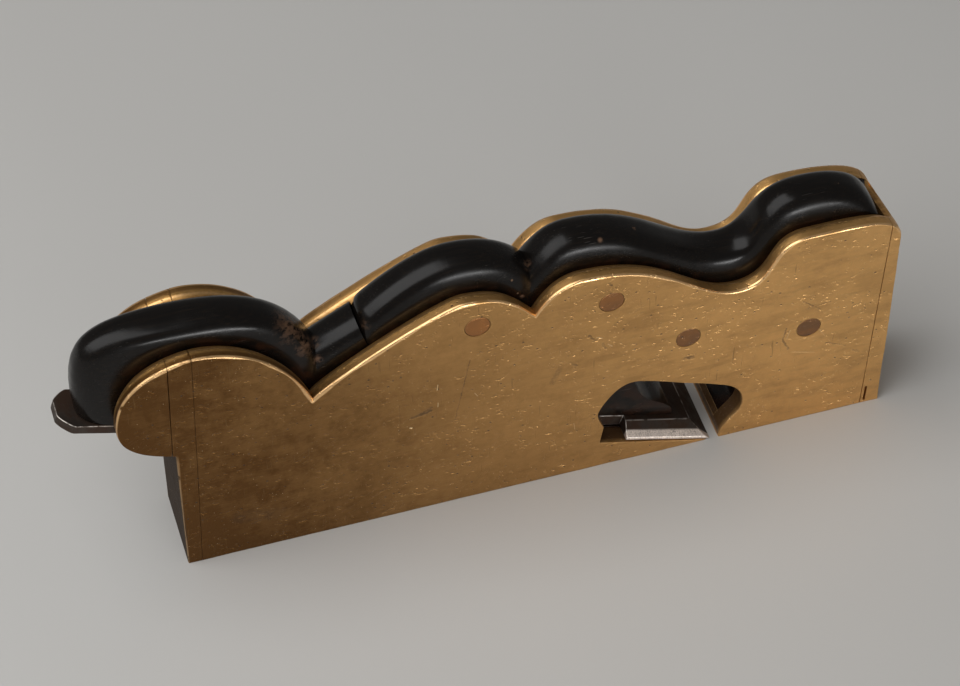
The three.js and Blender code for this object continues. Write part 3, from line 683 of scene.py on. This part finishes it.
def stretch_of(loop, first, last):
    """The part of a clockwise loop from its corner nearest first to that nearest last."""
    start, end = (
        min(range(len(loop)), key=lambda i: (loop[i] - Vector(knot)).length)
        for knot in (first, last)
    )
    if end < start:
        end += len(loop)
    return [loop[i % len(loop)] for i in range(start, end + 1)]


def evenly(points, count):
    """A curve cut into equal steps along its length."""
    reach = [0]
    for a, b in zip(points, points[1:]):
        reach.append(reach[-1] + (b - a).length)
    result, leg = [], 1
    for i in range(count + 1):
        target = reach[-1] * i / count
        while leg < len(points) - 1 and reach[leg] < target:
            leg += 1
        span = reach[leg] - reach[leg - 1]
        result.append(points[leg - 1].lerp(points[leg], (target - reach[leg - 1]) / span))
    return result


def smooth_stretch(points):
    """A stretch of outline with a finer curve between its corners."""
    corners = [0] + [
        i for i in range(1, len(points) - 1)
        if abs(turn(points[i - 1], points[i], points[i + 1])) > corner_turn
    ] + [len(points) - 1]
    curve = []
    for a, b in zip(corners, corners[1:]):
        curve += curve_through(points[a:b + 1], toe_spacing)
    return curve + [points[-1]]


def toe_outline(y):
    """The toe plate's outline at a place across the width, with a fixed number of points."""
    loop = section("toe_plate", y)[0]
    points = []
    for a, b, count in zip(toe_knots, toe_knots[1:] + toe_knots[:1], toe_counts):
        points += evenly(smooth_stretch(stretch_of(loop, a, b)), count)[:-1]
    return [Vector((min(p.x, toe_face), p.y)) for p in points]


rings, marks = [], {"bright": [], "inward": []}
for side in (-1, 1):
    outer = toe_outline(side * (half_width - section_depth))
    inner = toe_outline(side * (inner_face - inner_skim))
    kinds = ["seam"] * toe_counts[0]
    kinds += ["rim" if p.y > toe_rim_height else "open" for p in outer[toe_counts[0]:]]
    side_rings, side_marks = rim_rings(side, outer, kinds)
    first_bend = len(arris_turns)
    for ring, (share, drop) in zip(range(first_bend, len(side_rings)), chamfer_bends):
        y = side * (half_width - rim_flat - share * chamfer_width)
        side_rings[ring] = [
            (p.x, y, p.y) for p in (a.lerp(b, min(1, drop)) for a, b in zip(outer, inner))
        ]
        side_marks["inward"][ring] = [
            min(1, 0.6 * (a - b).length) * inward_mark(share) for a, b in zip(outer, inner)
        ]
    order = -side
    rings += side_rings[::order]
    marks["bright"] += side_marks["bright"][::order]
    marks["inward"] += side_marks["inward"][::order]
slot = section("toe_plate", -half_width + section_depth)[1]
pocket = [[(p.x, y, p.y) for p in slot] for y in (-half_width, -half_width + pocket_depth)]
body = bmesh.new()
skinned(body, rings, marks=marks, pocket=[pocket])
toe_plate = shown("toe_end_plate", body)
toe_plate.data.materials.append(plate_brass)
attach(toe_plate, "body")
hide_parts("toe_plate")


# Soles
# Two brass strips brazed between the side plates and filed flush, one behind the mouth and one in
# front of it. Their edges are eased.
flat_turn = 0.5
edge_turn = 20
sole_easing = 0.08


def eased(name, node, width):
    """A piece with its sharp CAD edges rounded, which the materials can tell from its faces."""
    body = bmesh.new()
    body.from_mesh(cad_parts[node].data)
    bmesh.ops.remove_doubles(body, verts=body.verts, dist=weld_distance * millimetre)
    bmesh.ops.dissolve_limit(
        body, angle_limit=math.radians(flat_turn), verts=body.verts, edges=body.edges,
    )
    edges = [
        edge for edge in body.edges
        if len(edge.link_faces) == 2 and edge.calc_face_angle() > math.radians(edge_turn)
    ]
    made = bmesh.ops.bevel(
        body, geom=edges, offset=width * millimetre, offset_type="OFFSET", segments=3,
        profile=0.5, affect="EDGES", clamp_overlap=True,
    )
    layer = body.verts.layers.float.new("bright")
    rounded = set(made["faces"])
    for vert in body.verts:
        vert[layer] = float(all(face in rounded for face in vert.link_faces))
    bmesh.ops.triangulate(body, faces=[face for face in body.faces if len(face.verts) > 4])
    return shown(name, body)


for name, node in (("rear_sole_plate", "rear_sole"), ("toe_sole_plate", "toe_sole")):
    made = eased(name, node, sole_easing)
    made.data.materials.append(plate_brass)
    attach(made, "body")
    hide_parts(node)


# Cross pins
# Brass rods through plates and ebony, hammered into countersinks and filed flush. They are a
# browner brass, so each end shows as a disc with a thin dark rim.
pin_brass = brass("pin_brass", (0.22, 0.12, 0.062), (0.5, 0.2, 0.05), marked=False)
pin_rings = ((0.02, 3.28), (0.06, 3.4), (0.16, 3.45), (1.2, 3.175))
pin_numbers = (1, 2, 3, 4)


def pin_middle(number):
    """The middle of a pin, seen from the side, in millimetres."""
    low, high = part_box(f"cross_pin_{number}")
    return Vector(((low.x + high.x) / 2, (low.z + high.z) / 2)) / millimetre


for number in pin_numbers:
    middle = pin_middle(number)
    rings = [circle(middle, -half_width + depth, radius) for depth, radius in pin_rings]
    rings += [circle(middle, half_width - depth, radius) for depth, radius in reversed(pin_rings)]
    edges = [[0.3 * float(row in (1, 6))] * hole_steps for row in range(len(rings))]
    body = bmesh.new()
    skinned(body, rings, marks={"bright": edges})
    made = shown(f"pin_{number}", body)
    made.data.materials.append(pin_brass)
    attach(made, "body")
    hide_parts(f"cross_pin_{number}")


# Stuffing, wedge and bed
# Ebony, carved and scraped to follow the scallops of the rims and rounded across like a loaf,
# then polished by a century of hands. The wedge slides; the rest is bedded in shellac. The knots
# are corners and crests of each outline, seen from the side, between which it is cut into steps.
crown_fullness = 2.6
crown_slices = 40
stuffing_half = 7.1
wedge_half = 6.8
skim = 0.001
pin_hole_radius = 3.325
bed_easing = 0.1
black_wood = (0.004, 0.0032, 0.0028)
brown_grain = (0.009, 0.006, 0.004)
worn_wood = (0.11, 0.06, 0.035)
shellac_foot = (0.03, 0.011, 0.005)
scratch_grey = (0.09, 0.08, 0.07)
speck_brown = (0.16, 0.1, 0.06)


def crowned(name, node, half, side_knots, middle_knots, steps, holes=()):
    """Ebony rounded from its side outline up to its outline along the middle."""
    side_loop = section(node, half - skim)[0]
    middle_loop = section(node, skim)[0]
    tops = []
    for loop, knots in ((side_loop, side_knots), (middle_loop, middle_knots)):
        top = []
        for a, b, count in zip(knots, knots[1:], steps):
            part = stretch_of(loop, a, b)
            part = evenly(smooth_stretch(part), count) if len(part) > 1 else part * (count + 1)
            top += part[1:] if top else part
        tops.append(top)
    base = stretch_of(middle_loop, middle_knots[-1], middle_knots[0])[1:-1]
    rings = []
    marks = []
    for j in range(crown_slices + 1):
        across = math.sin(math.pi * (j / crown_slices - 0.5))
        rise = max(0, 1 - abs(across) ** crown_fullness) ** (1 / crown_fullness)
        ring = [a.lerp(b, rise) for a, b in zip(*tops)]
        rings.append([(p.x, half * across, p.y) for p in [*ring, *base]])
        marks.append([rise] * len(ring) + [0] * len(base))
    tubes = [
        [circle(middle, y, radius) for y in (-half, half)] for middle, radius in holes
    ]
    body = bmesh.new()
    skinned(body, rings, tubes, {"crown": marks})
    return shown(name, body)


worn_patches = (
    ((-66.6, -2.8, 76.4), 7, 0.75),
    ((-63.4, -5, 69.9), 4.5, 0.8),
    ((-60.3, -2, 66.5), 2.4, 0.9),
    ((-60.4, -5.7, 63.6), 2, 0.9),
    ((-2.2, -2.6, 78.8), 2.2, 0.6),
    ((-3.2, -5.6, 74.5), 2, 0.5),
    ((17.5, -4.9, 84.6), 1, 1),
    ((-4.6, -7, 72), 1, 1),
    ((28.3, -1.2, 82.1), 0.9, 1),
    ((-47.1, -5.1, 72.5), 2.2, 0.35),
)


def ebony(name):
    """Near-black wood with a hand polish, fine scratches, and brown where the polish is worn."""
    made, start = new_material(name)
    place = spot(start)
    crown = start.node("Attribute", {"attribute_name": "crown"}, {}, "Fac")
    grain = cloud(place, 0.5, 3, 0.6, (26, 1, 1), 11)
    patch = cloud(place, 12, 4, 0.6, seed=12)
    scratches = step(cloud(place, 0.3, 1, 0.5, (26, 1, 1), 13), 0.7, 0.76)
    scratches = scratches * step(cloud(place, 16, 2, 0.5, seed=17), 0.5, 0.65)
    specks = 1 - step(cells(place, 0.16), 0.04, 0.07)
    specks = specks * step(cloud(place, 10, 2, 0.5, seed=18), 0.52, 0.6)
    colour = blend_colour(step(grain, 0.45, 0.8), black_wood, brown_grain)
    worn = 0
    for middle, reach, depth in worn_patches:
        ends = {0: place, 1: middle}
        away = place.node("VectorMath", {"operation": "DISTANCE"}, ends, "Value")
        worn = depth * (1 - step(away, 0.15 * reach, reach)) + worn
    worn = worn * step(cloud(place, 1.6, 4, 0.7, (2, 1, 1), 19), 0.4, 0.6)
    colour = blend_colour(worn, colour, worn_wood)
    foot = (1 - step(crown, 0.02, 0.4)) * step(cloud(place, 3, 3, 0.6, (2, 1, 1), 20), 0.4, 0.65)
    colour = blend_colour(0.5 * foot, colour, shellac_foot)
    colour = blend_colour(0.3 * scratches, colour, scratch_grey)
    colour = blend_colour(0.8 * specks, colour, speck_brown)
    roughness = 0.17 + 0.1 * step(patch, 0.35, 0.7) + 0.06 * grain + 0.2 * scratches + 0.3 * worn
    relief = 0.3 * grain - 0.8 * scratches + 2 * cloud(place, 4, 2, 0.5, seed=14) - specks
    bump = start.node("Bump", {}, {"Height": relief, "Strength": 0.1, "Distance": 0.0001})
    coat_with(start, colour, roughness, 0, bump, gloss=0.22)
    return made


polished_ebony = ebony("ebony")
pin_holes = [(pin_middle(number), pin_hole_radius) for number in pin_numbers]
stuffing = crowned(
    "stuffing_ebony", "stuffing", stuffing_half,
    ((-45.5, 65.9), (-2.5, 68), (98.4, 71.6)),
    ((-48.9, 67.5), (-1.7, 78.7), (98, 68)),
    (130, 200),
    pin_holes,
)
wedge = crowned(
    "wedge_ebony", "wedge", wedge_half,
    ((-114, 57), (-62, 55.7), (-47, 66.3), (-47, 66.3)),
    ((-125, 60.4), (-60.4, 66.9), (-49.2, 72.9), (-49.2, 67.3)),
    (150, 50, 12),
)
for made, node, body in ((stuffing, "stuffing", "body"), (wedge, "wedge", "wedge")):
    made.data.materials.append(polished_ebony)
    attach(made, body)
    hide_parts(node)
bed = eased("bed_ebony", "bed_infill", bed_easing)
bed.data.materials.append(polished_ebony)
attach(bed, "body")
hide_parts("bed_infill")


# Iron
# A forged steel cutter with a T-shaped wide end, ground and filed bright along its worn edges and
# brown with old rust elsewhere.
iron_easing = 0.28
steel_brown = (0.075, 0.06, 0.05)
rust_brown = (0.04, 0.02, 0.011)
filed_steel = (0.97, 0.85, 0.76)
filed_furrows = (0.62, 0.53, 0.46)
worn_steel = (0.6, 0.55, 0.5)


def steel(name):
    """Old steel: brown patina on its wide faces, filed silver-grey at its wings and worn edges."""
    made, start = new_material(name)
    place = spot(start)
    parts = start.node("SeparateXYZ", {}, {"Vector": place})
    along, across = [Field(start.tree, parts.socket.node.outputs[i]) for i in (0, 1)]
    bright = start.node("Attribute", {"attribute_name": "bright"}, {}, "Fac")
    rust = step(cloud(place, 6, 5, 0.65, seed=21), 0.3, 0.6)
    files = cloud(place, 0.3, 2, 0.6, (1, 1, 14), 22)
    spots = step(cloud(place, 1.3, 4, 0.7, seed=23), 0.58, 0.68)
    wing = step(abs(across), 10.6, 11.2) * step(along, 18, 20)
    colour = blend_colour(rust, steel_brown, rust_brown)
    filed = blend_colour(step(files, 0.35, 0.7), filed_steel, filed_furrows)
    colour = blend_colour(wing * (1 - 0.5 * spots), colour, filed)
    bright = bright * step(cloud(place, 2, 3, 0.6, seed=24), 0.35, 0.55)
    colour = blend_colour(0.6 * bright, colour, worn_steel)
    roughness = 0.4 + 0.15 * rust + 0.1 * files - 0.12 * bright
    relief = files + 2 * rust - 2 * spots
    bump = start.node("Bump", {}, {"Height": relief, "Strength": 0.2, "Distance": 0.0001})
    coat_with(start, colour, roughness, 0.9 - 0.35 * rust * (1 - wing), bump)
    return made


blade = eased("blade", "iron", iron_easing)
blade.data.materials.append(steel("tool_steel"))
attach(blade, "blade")
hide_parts("iron")
